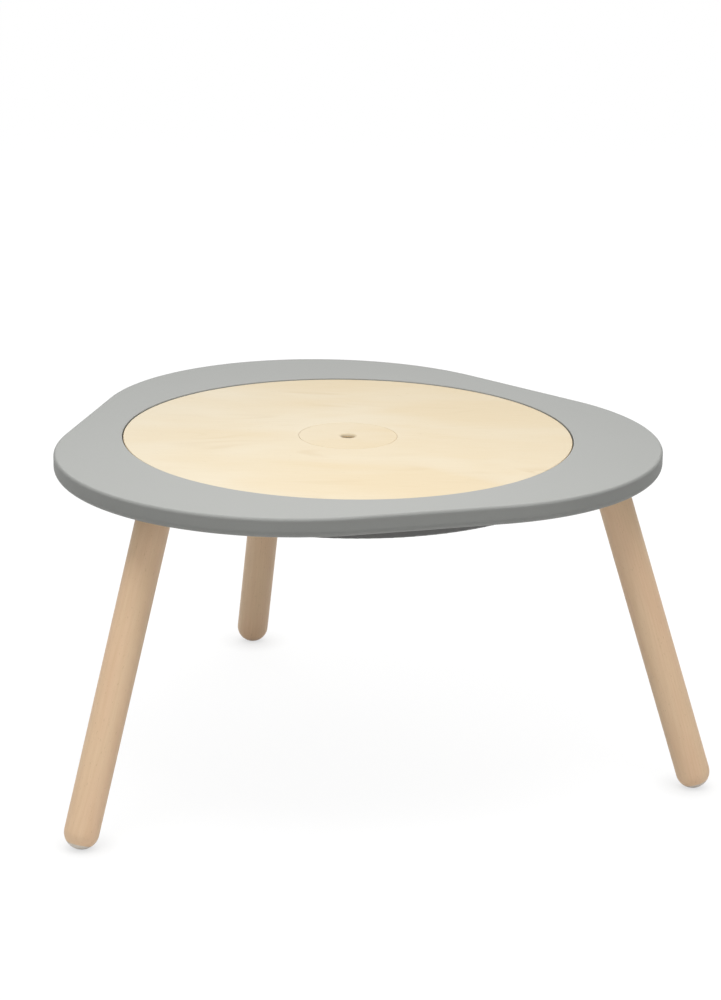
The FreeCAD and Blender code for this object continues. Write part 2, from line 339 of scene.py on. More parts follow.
def satin_lacquer(finishes):
    """Polyurethane lacquer sprayed on fibreboard: one even grey with a faint orange peel and a weak,
    soft gloss that grows at low angles."""
    even = {"IOR": 1.5, "Specular IOR Level": 0.22}
    material, tree, shader = start_material("satin_lacquer_on_fibreboard", even)
    spot = object_spot(tree)
    cloud = noise(tree, spot, (70, 70, 70), detail=3)
    peel = noise(tree, spot, (2.5, 2.5, 2.5), detail=2)
    tint = blend(tree, cloud, shade(finishes.lacquer, 0.97), shade(finishes.lacquer, 1.03))
    feed(tree, shader, tint, remap(tree, cloud, low=0.52, high=0.62),
         bumps(tree, peel, strength=0.06, depth=0.3))
    return material


def birch_veneer(finishes, name, turn, shift, warmth):
    """Rotary-cut birch under matt lacquer: cream, with long soft fibres, a few broad flames and some
    short pith flecks. turn is the grain's direction, shift picks the stretch of veneer, and warmth
    adds to its warmer tone, which also grows along the grain."""
    material, tree, shader = start_material(name, {"IOR": 1.46})
    sheet = node(tree, "Mapping", {"Vector": object_spot(tree), "Location": (shift, shift, 0),
                                   "Rotation": (0, 0, -turn)}).outputs[0]
    cloud = noise(tree, sheet, (240, 110, 240), detail=2, distortion=0.4)
    fibre = noise(tree, sheet, (45, 0.9, 45), detail=3)
    flame = noise(tree, sheet, (330, 85, 330), detail=2, distortion=0.5)
    bands = maths(tree, "SINE", maths(tree, "MULTIPLY", flame, FLAME_LINES))
    patch = remap(tree, noise(tree, sheet, (210, 60, 210), detail=1), start=0.55, end=0.70)
    flames = maths(tree, "MULTIPLY", remap(tree, bands, start=0.35), patch)
    fleck = remap(tree, noise(tree, sheet, (9, 1.6, 9), detail=1), start=0.74, end=0.82)
    along = node(tree, "SeparateXYZ", {"Vector": sheet}).outputs["X"]
    trend = remap(tree, along, start=-0.25, end=0.25, low=warmth - 0.45, high=warmth + 0.45)
    warm = maths(tree, "ADD", remap(tree, cloud, start=0.36, end=0.66), trend, clamp=True)
    tint = blend(tree, warm, finishes.birch, finishes.birch_warm)
    streak = remap(tree, fibre, start=0.3, end=0.7, high=0.16)
    tint = blend(tree, streak, tint, finishes.birch_figure)
    tint = blend(tree, maths(tree, "MULTIPLY", flames, 0.30), tint, finishes.birch_figure)
    tint = blend(tree, maths(tree, "MULTIPLY", fleck, 0.45), tint, shade(finishes.birch_figure, 0.7))
    feed(tree, shader, tint, remap(tree, fibre, low=0.46, high=0.58),
         bumps(tree, fibre, strength=0.08, depth=0.1))
    return material


def plywood_edge(finishes, name, ply):
    """Sanded plywood edge: pale and brown plies in turn, with fine end grain in them."""
    material, tree, shader = start_material(name, {"IOR": 1.46})
    spot = object_spot(tree)
    height = node(tree, "SeparateXYZ", {"Vector": spot}).outputs["Z"]
    part = maths(tree, "FRACT", maths(tree, "MULTIPLY", height, 1 / (2 * ply)))
    layer = maths(tree, "GREATER_THAN", part, 0.5)
    pores = noise(tree, spot, (0.8, 0.8, 0.8), detail=3)
    tint = blend(tree, layer, shade(finishes.birch, 0.92), finishes.ply_glue)
    speck = remap(tree, pores, start=0.35, end=0.75, high=0.35)
    tint = blend(tree, speck, tint, shade(finishes.ply_glue, 0.75))
    feed(tree, shader, tint, remap(tree, pores, low=0.55, high=0.7),
         bumps(tree, pores, strength=0.2, depth=0.1))
    return material


def turned_beech(finishes, name, shift):
    """Turned and lacquered beech: growth rings cut along the leg, fine fibres, and the short brown
    flecks that tell beech from other pale woods. The grain attribute gives the place in the leg."""
    material, tree, shader = start_material(name, {"IOR": 1.46})
    spot = node(tree, "Attribute", attribute_name="grain").outputs["Vector"]
    from_heart = (26 * MILLIMETRE, 9 * MILLIMETRE, 0)
    slant_of_rings = 0.045
    ring_waver = 9 * MILLIMETRE
    ring_width = 3.4 * MILLIMETRE
    heart = node(tree, "Mapping", {"Vector": spot, "Location": from_heart, "Scale": (1, 1, slant_of_rings)})
    depth = node(tree, "VectorMath", {0: heart.outputs[0]}, operation="LENGTH").outputs["Value"]
    waver = noise(tree, spot, (16, 16, 190), detail=2, shift=shift)
    ring = maths(tree, "ADD", depth, maths(tree, "MULTIPLY", waver, ring_waver))
    wave = maths(tree, "SINE", maths(tree, "MULTIPLY", ring, math.tau / ring_width))
    broad = noise(tree, spot, (24, 24, 140), detail=2, shift=shift)
    fibre = noise(tree, spot, (0.8, 0.8, 28), detail=3, shift=shift)
    fleck = noise(tree, spot, (1.1, 1.1, 3.6), detail=0, shift=shift)
    tint = blend(tree, remap(tree, broad, start=0.35, end=0.65), finishes.beech_rose, finishes.beech)
    tint = blend(tree, remap(tree, wave, start=-0.3, high=0.11), tint, finishes.beech_ring)
    streak = remap(tree, fibre, start=0.35, end=0.75, high=0.16)
    tint = blend(tree, streak, tint, shade(finishes.beech_ring, 0.9))
    short = remap(tree, fleck, start=0.75, end=0.83, high=0.3)
    tint = blend(tree, short, tint, shade(finishes.beech_ring, 0.62))
    feed(tree, shader, tint, remap(tree, fibre, low=0.42, high=0.56),
         bumps(tree, fibre, strength=0.1, depth=0.1))
    return material


def pressed_felt(finishes):
    """Pressed wool felt: matt, with tangled fibres of lighter and darker grey."""
    material, tree, shader = start_material("pressed_wool_felt", {"Roughness": 0.95, "Sheen Weight": 0.25})
    fibres = noise(tree, object_spot(tree), (0.9, 0.9, 0.9), detail=5, distortion=2.5)
    tint = blend(tree, fibres, shade(finishes.felt, 0.7), shade(finishes.felt, 1.25))
    feed(tree, shader, tint, bump=bumps(tree, fibres, strength=0.6, depth=0.4))
    return material


def moulded_plastic(name, base, grit):
    """Injection-moulded plastic with an eroded mould texture: matt, even colour, fine grit whose size
    is in millimetres."""
    material, tree, shader = start_material(name, {"IOR": 1.5})
    spot = object_spot(tree)
    texture = noise(tree, spot, (grit, grit, grit), detail=2)
    cloud = noise(tree, spot, (60, 60, 60), detail=2)
    tint = blend(tree, cloud, shade(base, 0.94), shade(base, 1.06))
    feed(tree, shader, tint, remap(tree, texture, low=0.48, high=0.62),
         bumps(tree, texture, strength=0.15, depth=0.1))
    return material


def bright_metal(name, base, smooth, rough):
    """Plated or machined metal: bright, with a gloss that handling has left between smooth and rough."""
    material, tree, shader = start_material(name, {"Metallic": 1})
    smear = noise(tree, object_spot(tree), (1.5, 1.5, 1.5), detail=4)
    tint = blend(tree, smear, shade(base, 0.88), shade(base, 1.05))
    feed(tree, shader, tint, remap(tree, smear, low=smooth, high=rough))
    return material


def put_mesh(name, points, wrap_section, materials, slots=None, grain=None):
    """Object from one or more grids of points, rows round the piece by columns along its section. Rows
    always close, columns close if wrap_section is true. Points that fall together become one pole,
    and the faces are turned outwards by the sign of the enclosed volume. slots gives each section
    step's material, and grain each point's place in the wood."""
    rows, columns = points.shape[-3:-1]
    index = np.arange(points.size // 3).reshape(-1, rows, columns)
    index = np.concatenate([index, index[:, :1]], axis=1)
    if wrap_section:
        index = np.concatenate([index, index[:, :, :1]], axis=2)
    corners = (index[:, :-1, :-1], index[:, 1:, :-1], index[:, 1:, 1:], index[:, :-1, 1:])
    faces = np.stack(corners, axis=-1).reshape(-1, 4)
    flat = points.reshape(-1, 3)
    a, b, c, d = (flat[faces[:, i]] for i in range(4))
    volume = np.sum(a * np.cross(b, c)) + np.sum(a * np.cross(c, d))
    if volume < 0:
        faces = faces[:, ::-1]
    mesh = bpy.data.meshes.new(name)
    mesh.from_pydata(flat.tolist(), [], faces.tolist())
    for material in materials:
        mesh.materials.append(material)
    if slots is not None:
        face_slots = np.resize(np.asarray(slots, dtype=np.int32), len(faces))
        mesh.polygons.foreach_set("material_index", face_slots)
    if grain is not None:
        layer = mesh.attributes.new("grain", "FLOAT_VECTOR", "POINT")
        layer.data.foreach_set("vector", grain.reshape(-1).astype(np.float32))
    work = bmesh.new()
    work.from_mesh(mesh)
    bmesh.ops.remove_doubles(work, verts=work.verts, dist=MERGE_DISTANCE)
    work.to_mesh(mesh)
    work.free()
    mesh.polygons.foreach_set("use_smooth", np.ones(len(mesh.polygons), dtype=bool))
    mesh.set_sharp_from_angle(angle=SHARP_ANGLE)
    mesh.update()
    made = bpy.data.objects.new(name, mesh)
    bpy.context.scene.collection.objects.link(made)
    return made


def rounded_section(corners):
    """Section through (radius, height, rounding) corners. Each rounded corner is an arc tangent to its
    two sides, and a guard point beyond each end of the arc keeps the flats flat in the shading."""
    places = np.array([corner[:2] for corner in corners], dtype=float)
    points = []
    for i, (here, rounding) in enumerate(zip(places, [corner[2] for corner in corners])):
        if rounding == 0:
            points.append(here[None])
            continue
        back = places[i - 1] - here
        ahead = places[(i + 1) % len(places)] - here
        back = back / np.linalg.norm(back)
        ahead = ahead / np.linalg.norm(ahead)
        half = math.acos(float(np.clip(back @ ahead, -1, 1))) / 2
        trim = rounding / math.tan(half)
        middle = (back + ahead) / np.linalg.norm(back + ahead)
        centre = here + middle * rounding / math.sin(half)
        first = here + back * trim - centre
        last = here + ahead * trim - centre
        sweep = np.linspace(0, 1, ROUNDING_STEPS + 1)[:, None]
        turn = math.acos(float(np.clip(first @ last / rounding ** 2, -1, 1)))
        arc = (np.sin((1 - sweep) * turn) * first + np.sin(sweep * turn) * last) / math.sin(turn)
        points.append((here + back * (trim + ROUNDING_GUARD))[None])
        points.append(centre + arc)
        points.append((here + ahead * (trim + ROUNDING_GUARD))[None])
    return np.vstack(points)


def straight(radius, run):
    """Section points at one radius, at the heights of a run."""
    return np.column_stack([np.full(len(run), radius), run])


def ball(radius, middle, swing):
    """Section points on a ball round a middle on the axis: the radius times the sine and the cosine of
    the swing from the axis."""
    return np.column_stack([radius * np.sin(swing), middle + radius * np.cos(swing)])


def turns(count):
    """Angles evenly spaced round a full turn, as a column."""
    return np.linspace(0, math.tau, count, endpoint=False)[:, None]


def lathe(section, count, cut=0):
    """Section of (radius, height) points turned about an upright axis: x and y are the radius, less
    the cut at that turn and height, times the cosine and sine of the turn, and z is the height."""
    radius = section[:, 0] - cut
    x = radius * np.cos(turns(count))
    y = radius * np.sin(turns(count))
    return np.stack(np.broadcast_arrays(x, y, section[:, 1]), axis=-1)


def thread(turn, run, first, last, pitch, width=1):
    """Share of a thread's depth, from none on the crest to one in the root. It is how far the run,
    less one pitch for each full turn, lies from a crest, and a width over one makes a broad root, as
    in wood threads. It fades out within a pitch of either end."""
    away = 1 - np.abs(2 * ((run / pitch - turn / math.tau) % 1) - 1)
    fade = np.clip(np.minimum(run - first, last - run) / pitch, 0, 1)
    return np.minimum(1, away * width) * fade


def bearing(side):
    """Direction of a leg from the table's axis."""
    return math.atan2(FEET[side][1], FEET[side][0])


def top_plan(side_distance, corner_reach):
    """Points and outward directions of the top's plan: three arcs about centres on the legs' lines,
    joined by straight sides. Along an arc the point is the centre plus the radius times the outward
    direction, and along a side it runs evenly from one arc to the next."""
    radius = 2 * side_distance - corner_reach
    offset = corner_reach - radius
    lobe_turn = math.tau / len(FEET)
    points = []
    outward = []
    for side in FEET:
        lobe = bearing(side)
        sweep = lobe + np.linspace(-lobe_turn / 2, lobe_turn / 2, TOP_ARC_POINTS)
        way = np.stack([np.cos(sweep), np.sin(sweep)], axis=-1)
        arc = offset * np.array([math.cos(lobe), math.sin(lobe)]) + radius * way
        next_lobe = lobe + lobe_turn
        next_way = np.array([math.cos(next_lobe), math.sin(next_lobe)])
        next_start = offset * next_way + radius * way[-1]
        along = np.linspace(0, 1, TOP_SIDE_STEPS, endpoint=False)[1:, None]
        edge = arc[-1] + along * (next_start - arc[-1])
        points += [arc, edge]
        outward += [way, np.broadcast_to(way[-1], edge.shape)]
    return np.vstack(points), np.vstack(outward)


def top_surface(sizes):
    """The table top as rings from the underside, round the rim, over the face and down the stepped
    opening. A rim ring is the plan moved in by an inset at a height, an opening ring is a circle at
    the same polar angles, and the flats run evenly between the two."""
    low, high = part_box("table_top")
    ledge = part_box("play_board")[0].z
    opening = reach_of("play_board") + sizes.board_gap
    inner = reach_of("play_board") - sizes.ledge_overlap
    plan, outward = top_plan(-low.y, high.y)
    polar = np.arctan2(plan[:, 1], plan[:, 0])
    spoke = np.stack([np.cos(polar), np.sin(polar)], axis=-1)

    def rim(inset, height):
        """Ring that follows the plan."""
        return np.column_stack([plan - outward * inset, np.full(len(plan), height)])

    def ring(radius, height):
        """Ring round the opening."""
        return np.column_stack([spoke * radius, np.full(len(plan), height)])

    def flat(first, last):
        """Rings spread evenly from one ring to another."""
        return [first + share * (last - first) for share in np.linspace(0, 1, TOP_FLAT_POINTS)]

    swing = np.linspace(0, math.pi / 2, TOP_ROUNDING_POINTS)
    fillet = sizes.rim_round
    belly = sizes.rim_under_round
    mouth = sizes.opening_round
    rings = flat(ring(inner, low.z), rim(belly + TOP_GUARD, low.z))
    rings += [rim(belly * (1 - math.sin(a)), low.z + belly * (1 - math.cos(a))) for a in swing]
    rings += [rim(0, low.z + belly + TOP_GUARD), rim(0, high.z - fillet - TOP_GUARD)]
    rings += [rim(fillet * (1 - math.cos(a)), high.z - fillet * (1 - math.sin(a))) for a in swing]
    rings += flat(rim(fillet + TOP_GUARD, high.z), ring(opening + mouth + TOP_GUARD, high.z))
    for a in swing[::2]:
        rings.append(ring(opening + mouth * (1 - math.sin(a)), high.z - mouth * (1 - math.cos(a))))
    rings += [ring(opening, high.z - mouth - TOP_GUARD), ring(opening, ledge), ring(inner, ledge)]
    return np.stack(rings, axis=1)


def leg_frame(sizes, side):
    """Where a leg's axis meets the underside, how far down the axis the ball's middle lies, and three
    right-handed directions: two across the leg and one down it."""
    foot = FEET[side]
    outward = foot / np.linalg.norm(foot)
    start = outward * sizes.leg_top_radius + np.array([0, 0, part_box("table_top")[0].z])
    middle = foot + np.array([0, 0, sizes.leg_radius - sizes.pad_press])
    length = float(np.linalg.norm(middle - start))
    axis = (middle - start) / length
    level = np.cross(outward, axis)
    level = level / np.linalg.norm(level)
    return start, length, np.stack([level, np.cross(axis, level), axis])


def leg_surface(sizes, side):
    """One leg and the place of each of its points in the wood. Its section runs out over the upper
    end, down the bar, round the ball, and in over the end that the pad is set on. It is turned about
    the leg's axis."""
    start, length, ways = leg_frame(sizes, side)
    radius = sizes.leg_radius
    edge = rounded_section([(0, sizes.leg_seat, 0), (radius, sizes.leg_seat, sizes.leg_top_round),
                            (radius, length, 0)])
    bar = straight(radius, np.linspace(edge[-2, 1], length, LEG_BAR_POINTS)[1:-1])
    nose = ball(radius, length, np.linspace(math.pi / 2, math.asin(sizes.pad_radius / radius),
                                            LEG_BALL_POINTS))
    inward = np.linspace(1, 0, LEG_END_POINTS)[1:]
    end = nose[-1] * np.column_stack([inward, np.ones(len(inward))])
    grain = lathe(np.vstack([edge[:-1], bar, nose, end]), LEG_TURNS)
    return start + grain @ ways, grain


def felt_surface(sizes, side):
    """A felt pad turned about its leg's axis: a low edge and a dome that carries the ball on. The
    edge wavers inwards a little by sine waves round it, and what would lie under the floor is pressed
    up to it."""
    start, length, ways = leg_frame(sizes, side)
    radius = sizes.leg_radius
    rim = sizes.pad_radius - sizes.pad_step
    seat = length + math.sqrt(radius ** 2 - sizes.pad_radius ** 2)
    dome = ball(radius, length, np.linspace(math.asin(rim / radius), 0, PAD_DOME_POINTS))
    edge = rounded_section([(0, seat, 0), (rim, seat, sizes.pad_edge_round), (*dome[0], 0)])
    inside = lathe(np.vstack([edge[:-1], dome]), PAD_TURNS)
    turn = turns(PAD_TURNS)[..., None]
    waver = sum(strength * (1 + np.sin(count * turn + begin)) for count, strength, begin in PAD_WAVES)
    inside[..., :2] *= 1 - PAD_WAVER_SHARE * waver
    points = start + inside @ ways
    points[..., 2] = np.maximum(points[..., 2], 0)
    return points


def screw_surface(sizes):
    """A countersunk wood screw that points up from its head's face at zero. Its section runs from the
    middle of the socket over the head and up the threaded shank to the tip. The socket's two rings
    are hexagons, the inner radius over the cosine of the turn from the middle of a side."""
    turn = turns(SCREW_TURNS)
    neck = sizes.screw_head_rim + sizes.screw_head_radius - sizes.screw_radius
    shoulder = sizes.screw_length - sizes.screw_tip
    socket = [(sizes.socket_radius, sizes.socket_depth), (sizes.socket_radius, 0)]
    head = [(sizes.screw_head_radius, 0), (sizes.screw_head_radius, sizes.screw_head_rim)]
    shank = straight(sizes.screw_radius, np.linspace(neck, shoulder, SCREW_SHANK_POINTS))
    section = np.vstack([[(0, sizes.socket_depth)], socket, head, shank, [(0, sizes.screw_length)]])
    spiral = thread(turn, section[:, 1], neck, shoulder, sizes.screw_pitch, WOOD_ROOT_WIDTH)
    cut = sizes.screw_thread * spiral
    half_side = math.pi / SOCKET_SIDES
    hexagon = math.cos(half_side) / np.cos(turn % (2 * half_side) - half_side)
    cut[:, 1:1 + len(socket)] = sizes.socket_radius * (1 - hexagon)
    return lathe(section, SCREW_TURNS, cut)


def spots_on_circle(centre, circle, height, count, first):
    """Places evenly spaced on a level circle, each shaped to be added to a grid of points."""
    turn = first + turns(count)[:, 0]
    spots = np.stack([centre.x + circle * np.cos(turn), centre.y + circle * np.sin(turn),
                      np.full(count, height)], axis=-1)
    return spots[:, None, None]


def bolt_surface(sizes, side):
    """A hanger bolt on a leg's axis: a rounded end, a machine thread down to the leg's upper end, and a
    wood thread with a point inside the leg."""
    start, _, ways = leg_frame(sizes, side)
    first, seat = sizes.bolt_start, sizes.leg_seat
    tip = seat + sizes.bolt_wood_length
    shoulder = tip - sizes.bolt_tip
    end = rounded_section([(0, first, 0), (sizes.bolt_radius, first, sizes.bolt_round),
                           (sizes.bolt_radius, seat, 0)])[:-1]
    begin = end[-1, 1]
    section = np.vstack([
        end,
        straight(sizes.bolt_radius, np.linspace(begin, seat, BOLT_MACHINE_POINTS)[1:]),
        straight(sizes.bolt_wood_radius, np.linspace(seat, shoulder, BOLT_WOOD_POINTS)),
        [(0, tip)],
    ])
    turn = turns(BOLT_TURNS)
    run = section[:, 1]
    machine = thread(turn, run, begin, seat, sizes.bolt_pitch)
    wood = thread(turn, run, seat, shoulder, sizes.bolt_wood_pitch, WOOD_ROOT_WIDTH)
    cut = sizes.bolt_thread * machine + sizes.bolt_wood_thread * wood
    return start + lathe(section, BOLT_TURNS, cut) @ ways


def insert_surface(sizes, side):
    """A threaded insert on a leg's axis: a sleeve with rounded outer edges, straight grooves round its
    outside, as the cosine of the turn gives them, and a thread cut into its bore."""
    start, _, ways = leg_frame(sizes, side)
    low, high = sizes.bolt_start, sizes.leg_seat
    edges = rounded_section([
        (sizes.insert_bore, low, 0),
        (sizes.insert_radius, low, sizes.insert_round),
        (sizes.insert_radius, high, sizes.insert_round),
        (sizes.insert_bore, high, 0),
    ])
    half = len(edges) // 2
    wall = np.linspace(edges[half - 1, 1], edges[half, 1], INSERT_WALL_POINTS)[1:-1]
    bore = np.linspace(high, low, INSERT_BORE_POINTS)[1:-1]
    section = np.vstack([
        edges[:half],
        straight(sizes.insert_radius, wall),
        edges[half:],
        straight(sizes.insert_bore, bore),
    ])
    turn = turns(INSERT_TURNS)
    run = section[:, 1]
    inside = section[:, 0] == sizes.insert_bore
    fade = np.clip(np.minimum(run - wall[0], wall[-1] - run) / sizes.insert_round, 0, 1)
    groove = sizes.knurl_depth * (1 - np.cos(INSERT_GROOVES * turn)) / 2 * fade
    spiral = -sizes.bolt_thread * thread(turn, run, low, high, sizes.bolt_pitch)
    return start + lathe(section, INSERT_TURNS, np.where(inside, spiral, groove)) @ ways


def stand_for(piece, body, cad_node):
    """Let a piece ride on a body and stand for a CAD node, which is hidden."""
    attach(piece, body)
    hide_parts(cad_node)


def upright_steps(section):
    """One for each section step that runs more up than across, which is a plywood edge."""
    ahead = np.roll(section, -1, axis=0) - section
    return (np.abs(ahead[:, 1]) > np.abs(ahead[:, 0])).astype(np.int32)


class PLAYTABLE_OT_top(bpy.types.Operator):
    """Build the lacquered three-sided top"""
    bl_idname = "play_table.top"
    bl_label = "Lacquered top"

    def execute(self, context):
        points = top_surface(context.scene.table_sizes)
        piece = put_mesh("lacquered_top", points, True, [satin_lacquer(context.scene.table_finishes)])
        stand_for(piece, "table", "table_top")
        return {"FINISHED"}


class PLAYTABLE_OT_board(bpy.types.Operator):
    """Build the round plywood play board"""
    bl_idname = "play_table.board"
    bl_label = "Play board"

    def execute(self, context):
        sizes = context.scene.table_sizes
        finishes = context.scene.table_finishes
        low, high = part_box("play_board")
        lid_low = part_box("center_lid")[0].z
        outer = reach_of("play_board")
        mouth = reach_of("center_lid") + sizes.lid_gap
        ledge = reach_of("center_lid") - sizes.lid_ledge_overlap
        section = rounded_section([
            (ledge, low.z, sizes.board_round),
            (outer, low.z, sizes.board_round),
            (outer, high.z, sizes.board_round),
            (mouth, high.z, sizes.lid_round),
            (mouth, lid_low, 0),
            (ledge, lid_low, 0),
        ])
        grain_turn = context.scene.studio.camera_turn
        face = birch_veneer(finishes, "birch_veneer_board", grain_turn, shift=0, warmth=0)
        edge = plywood_edge(finishes, "birch_plywood_edge", sizes.ply)
        points = lathe(section, BOARD_TURNS)
        piece = put_mesh("birch_play_board", points, True, [face, edge], upright_steps(section))
        stand_for(piece, "board", "play_board")
        return {"FINISHED"}


class PLAYTABLE_OT_lid(bpy.types.Operator):
    """Build the centre lid with its finger hole"""
    bl_idname = "play_table.lid"
    bl_label = "Centre lid"

    def execute(self, context):
        sizes = context.scene.table_sizes
        finishes = context.scene.table_finishes
        low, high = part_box("center_lid")
        outer = reach_of("center_lid")
        section = rounded_section([
            (sizes.finger_hole_radius, low.z, sizes.lid_round),
            (outer, low.z, sizes.lid_round),
            (outer, high.z, sizes.lid_round),
            (sizes.finger_hole_radius, high.z, sizes.finger_hole_round),
        ])
        grain_turn = context.scene.studio.camera_turn
        face = birch_veneer(finishes, "birch_veneer_lid", grain_turn, shift=0.02, warmth=0.4)
        edge = plywood_edge(finishes, "birch_plywood_lid_edge", sizes.ply)
        points = lathe(section, LID_TURNS)
        piece = put_mesh("birch_center_lid", points, True, [face, edge], upright_steps(section))
        stand_for(piece, "lid", "center_lid")
        return {"FINISHED"}


class PLAYTABLE_OT_legs(bpy.types.Operator):
    """Build the three turned beech legs"""
    bl_idname = "play_table.legs"
    bl_label = "Beech legs"

    def execute(self, context):
        for number, side in enumerate(FEET):
            points, grain = leg_surface(context.scene.table_sizes, side)
            wood = turned_beech(context.scene.table_finishes, "turned_beech_" + side, LEG_SHIFT * number)
            piece = put_mesh("beech_leg_" + side, points, False, [wood], grain=grain)
            stand_for(piece, "table", "leg_" + side)
        return {"FINISHED"}


class PLAYTABLE_OT_pads(bpy.types.Operator):
    """Build the three felt pads"""
    bl_idname = "play_table.pads"
    bl_label = "Felt pads"

    def execute(self, context):
        felt = pressed_felt(context.scene.table_finishes)
        for side in FEET:
            points = felt_surface(context.scene.table_sizes, side)
            piece = put_mesh("felt_pad_" + side, points, False, [felt])
            stand_for(piece, "table", "foot_pad_" + side)
        return {"FINISHED"}


class PLAYTABLE_OT_mouldings(bpy.types.Operator):
    """Finish the tray and the leg brackets"""
    bl_idname = "play_table.mouldings"
    bl_label = "Tray and brackets"

    def execute(self, context):
        finishes = context.scene.table_finishes
        by_slot = {
            # The tray takes its darkened grey, which is partly painted shade from the top's overhang
            "moulded_tray": moulded_plastic("moulded_tray_plastic_with_painted_shade", finishes.tray, grit=0.7),
            "moulded_bracket": moulded_plastic("moulded_bracket_nylon", finishes.bracket, grit=0.4),
        }
        for part in frame["record"]["subparts"]:
            if part["material_slot"] in by_slot:
                mesh = frame["nodes"][part["node"]].data
                mesh.materials.clear()
                mesh.materials.append(by_slot[part["material_slot"]])
        return {"FINISHED"}


class PLAYTABLE_OT_fasteners(bpy.types.Operator):
    """Build the wood screws, the hanger bolts and the threaded inserts"""
    bl_idname = "play_table.fasteners"
    bl_label = "Screws, bolts and inserts"

    def execute(self, context):
        sizes = context.scene.table_sizes
        finishes = context.scene.table_finishes
        zinc = bright_metal("zinc_plated_steel", finishes.zinc, smooth=0.28, rough=0.45)
        brass = bright_metal("machined_brass", finishes.brass, smooth=0.2, rough=0.35)
        tray_low, tray_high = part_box("tray_screws")
        tray_circle = reach_of("tray_screws") - sizes.screw_head_radius
        tray_middle = (tray_low + tray_high) / 2
        tray_spots = spots_on_circle(tray_middle, tray_circle, tray_low.z, TRAY_SCREWS, 0)
        bracket_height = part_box("bracket_screws")[0].z
        bracket_spots = []
        for side in FEET:
            low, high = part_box("leg_bracket_" + side)
            circle = (high.x - low.x) / 2 - sizes.bracket_screw_inset
            first = bearing(side) + math.pi / BRACKET_SCREWS
            middle = (low + high) / 2
            bracket_spots.append(spots_on_circle(middle, circle, bracket_height, BRACKET_SCREWS, first))
            bolt = put_mesh("zinc_hanger_bolt_" + side, bolt_surface(sizes, side), False, [zinc])
            stand_for(bolt, "table", "hanger_bolt_" + side)
            insert = put_mesh("brass_insert_" + side, insert_surface(sizes, side), True, [brass])
            stand_for(insert, "table", "threaded_insert_" + side)
        places = {"tray_screws": tray_spots, "bracket_screws": np.concatenate(bracket_spots)}
        for name, spots in places.items():
            screws = put_mesh("zinc_" + name, spots + screw_surface(sizes), False, [zinc])
            stand_for(screws, "table", name)
        return {"FINISHED"}


class PLAYTABLE_OT_stage(bpy.types.Operator):
    """Set up the floor, the light and the camera"""
    bl_idname = "play_table.stage"
    bl_label = "Studio"

    def execute(self, context):
        studio = context.scene.studio
        build_floor(context.scene.table_finishes, studio)
        build_sky(context.scene, studio)
        build_lamps(context.scene, studio)
        build_camera(context.scene, studio)
        context.scene.view_settings.view_transform = "Standard"
        return {"FINISHED"}


def seen_directly(tree):
    """One for camera, glossy and transmission rays, and zero for the rays that light the object."""
    path = node(tree, "LightPath").outputs
    shown = maths(tree, "MAXIMUM", path["Is Camera Ray"], path["Is Glossy Ray"])
    return maths(tree, "MAXIMUM", shown, path["Is Transmission Ray"])


def build_floor(finishes, studio):
    """A wide pale floor. It lights the object as matt paint, and shows itself near white with the object's
    shadow on it. Round each foot it shows a painted contact shadow, where ambient occlusion darkens its
    glow."""
    material = bpy.data.materials.new("matt_white_floor")
    material.use_nodes = True
    tree = material.node_tree
    tree.nodes.clear()
    paint = node(tree, "BsdfDiffuse", {"Color": shade(finishes.floor)})
    pale = node(tree, "BsdfDiffuse", {"Color": shade(WHITE, studio.floor_shadow)})
    # Painted contact shadow: ambient occlusion near the feet darkens the glow that the camera sees
    close = node(tree, "AmbientOcclusion", {"Distance": studio.contact}, samples=CONTACT_SAMPLES)
    level = remap(tree, close.outputs["AO"], low=studio.contact_share * studio.floor_glow,
                  high=studio.floor_glow)
    glow = node(tree, "Emission", {"Strength": level})
    shown = node(tree, "AddShader", {0: pale.outputs[0], 1: glow.outputs[0]})
    both = node(tree, "MixShader", {0: seen_directly(tree), 1: paint.outputs[0], 2: shown.outputs[0]})
    node(tree, "OutputMaterial", {"Surface": both.outputs[0]})
    section = np.column_stack([np.linspace(0, FLOOR_REACH, FLOOR_RINGS), np.zeros(FLOOR_RINGS)])
    put_mesh("studio_floor", lathe(section, FLOOR_TURNS), False, [material])


def build_sky(scene, studio):
    """Soft light from all round, stronger from above and weaker from the sides, in front of a white
    background."""
    world = bpy.data.worlds.new("studio_sky")
    world.use_nodes = True
    scene.world = world
    tree = world.node_tree
    tree.nodes.clear()
    way = node(tree, "TexCoord").outputs["Generated"]
    height = node(tree, "SeparateXYZ", {"Vector": way}).outputs["Z"]
    rise = remap(tree, height, low=studio.sky_low, high=studio.sky_high)
    right = (math.cos(studio.camera_turn), math.sin(studio.camera_turn), 0)
    aside = node(tree, "VectorMath", {0: way, 1: right}, operation="DOT_PRODUCT").outputs["Value"]
    left_over = maths(tree, "MULTIPLY_ADD", maths(tree, "MULTIPLY", aside, aside), -studio.sky_sides, 1)
    soft = node(tree, "Background", {"Color": WHITE, "Strength": maths(tree, "MULTIPLY", rise, left_over)})
    white = node(tree, "Background", {"Color": WHITE, "Strength": 1})
    both = node(tree, "MixShader", {0: seen_directly(tree), 1: soft.outputs[0], 2: white.outputs[0]})
    node(tree, "OutputWorld", {"Surface": both.outputs[0]})


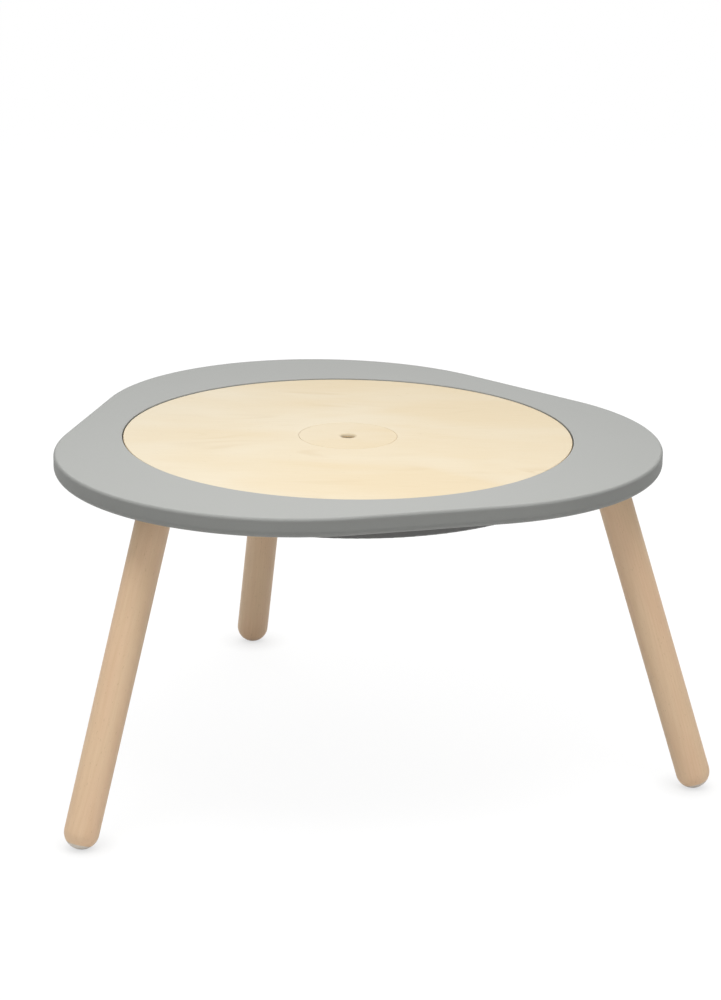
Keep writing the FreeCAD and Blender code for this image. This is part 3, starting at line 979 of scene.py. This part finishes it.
def build_lamps(scene, studio):
    """Two soft round lamps in front at the left and the right, and a weak broad one behind the table.
    They are near enough for the light to fall off across the top."""
    side = (studio.side_lamp_size, studio.side_lamp_height, studio.side_lamp_distance)
    back = (studio.back_lamp_size, studio.back_lamp_height, studio.back_lamp_distance)
    lamps = {"left_lamp": (studio.left_lamp, -studio.side_lamp_turn, side),
             "right_lamp": (studio.right_lamp, studio.side_lamp_turn, side),
             "back_lamp": (studio.back_lamp, math.pi, back)}
    for name, (light, turn, (breadth, height, distance)) in lamps.items():
        lamp = bpy.data.lights.new(name, "AREA")
        lamp.shape = "DISK"
        lamp.size = 2 * distance * math.tan(breadth / 2)
        lamp.energy = light * (math.pi * distance) ** 2
        stand = bpy.data.objects.new(name, lamp)
        stand.visible_camera = False
        scene.collection.objects.link(stand)
        stand.matrix_world = (
            Matrix.Translation((0, 0, cad_high.z))
            @ Matrix.Rotation(studio.camera_turn + turn, 4, "Z")
            @ Matrix.Rotation(math.pi / 2 - height, 4, "X")
            @ Matrix.Translation((0, 0, distance))
        )


def build_camera(scene, studio):
    """The camera at the place and angle that the photograph's perspective gives."""
    lens = bpy.data.cameras.new("photo_camera")
    lens.lens = studio.camera_lens
    lens.clip_end = VIEW_REACH
    camera = bpy.data.objects.new("photo_camera", lens)
    scene.collection.objects.link(camera)
    camera.matrix_world = (
        Matrix.Rotation(studio.camera_turn, 4, "Z")
        @ Matrix.Translation((0, -studio.camera_distance, studio.camera_height))
        @ Matrix.Rotation(-studio.camera_pan, 4, "Z")
        @ Matrix.Rotation(math.pi / 2 - studio.camera_pitch, 4, "X")
        @ Matrix.Rotation(studio.camera_roll, 4, "Z")
    )
    scene.camera = camera


class PLAYTABLE_PT_panel(bpy.types.Panel):
    """Sidebar panel that lists the table's operators and settings"""
    bl_idname = "PLAYTABLE_PT_panel"
    bl_label = "Play table"
    bl_space_type = "VIEW_3D"
    bl_region_type = "UI"
    bl_category = "Play table"

    def draw(self, context):
        for operator in OPERATORS:
            self.layout.operator(operator.bl_idname)
        for group in (context.scene.table_sizes, context.scene.table_finishes, context.scene.studio):
            box = self.layout.box()
            for name in group.__annotations__:
                box.prop(group, name)


OPERATORS = (PLAYTABLE_OT_top, PLAYTABLE_OT_board, PLAYTABLE_OT_lid, PLAYTABLE_OT_legs,
             PLAYTABLE_OT_pads, PLAYTABLE_OT_mouldings, PLAYTABLE_OT_fasteners, PLAYTABLE_OT_stage)
GROUPS = {"table_sizes": TableSizes, "table_finishes": TableFinishes, "studio": StudioSetup}


def register():
    for group in GROUPS.values():
        bpy.utils.register_class(group)
    for name, group in GROUPS.items():
        setattr(bpy.types.Scene, name, PointerProperty(type=group))
    for item in (*OPERATORS, PLAYTABLE_PT_panel):
        bpy.utils.register_class(item)


def unregister():
    for item in (PLAYTABLE_PT_panel, *reversed(OPERATORS)):
        bpy.utils.unregister_class(item)
    for name, group in GROUPS.items():
        delattr(bpy.types.Scene, name)
        bpy.utils.unregister_class(group)


def main():
    register()
    bpy.ops.play_table.top()
    bpy.ops.play_table.board()
    bpy.ops.play_table.lid()
    bpy.ops.play_table.legs()
    bpy.ops.play_table.pads()
    bpy.ops.play_table.mouldings()
    bpy.ops.play_table.fasteners()
    bpy.ops.play_table.stage()


if __name__ == "__main__":
    main()
